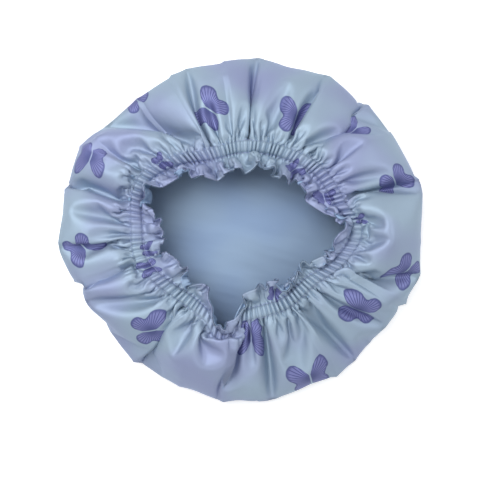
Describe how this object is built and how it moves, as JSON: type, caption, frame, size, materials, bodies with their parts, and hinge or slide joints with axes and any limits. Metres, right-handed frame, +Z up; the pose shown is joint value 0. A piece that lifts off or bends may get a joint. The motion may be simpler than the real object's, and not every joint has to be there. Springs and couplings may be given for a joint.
{
  "type": "satin hair bonnet",
  "caption": "Soft round double-layer satin sleep bonnet laid crown down, with an elasticated gathered mouth, a frilled rim and a printed outer cloth over a plain lining.",
  "frame": {"origin": "middle of the bonnet's box on the face it rests on, under the crown", "axes": "+Z up, out of the mouth; +X to the right of the picture, along the longer way across; +Y to the top of the picture"},
  "size_m": [0.3278, 0.3122, 0.0548],
  "materials": {
    "printed_satin": "satin",
    "lining_satin": "satin",
    "elastic": "matte",
    "lilac_thread": "satin",
    "blue_thread": "satin"
  },
  "bodies": {
    "crown": {"outer_shell": "printed_satin", "lining": "lining_satin"},
    "hem": {"elastic_band": "elastic", "elastic_lap_stitching": "lilac_thread", "casing_outer_row_needle_thread": "lilac_thread", "casing_outer_row_bobbin_thread": "blue_thread", "casing_inner_row_needle_thread": "lilac_thread", "casing_inner_row_bobbin_thread": "blue_thread", "rim_seam_thread": "lilac_thread", "turning_gap_stitches": "lilac_thread"}
  },
  "joints": [
    {"name": "hem_lift", "type": "slide", "parent": "crown", "child": "hem", "axis": [0, 0, 1], "range_m": [0, 0.05], "deforming": ["outer_shell", "lining"]}
  ]
}
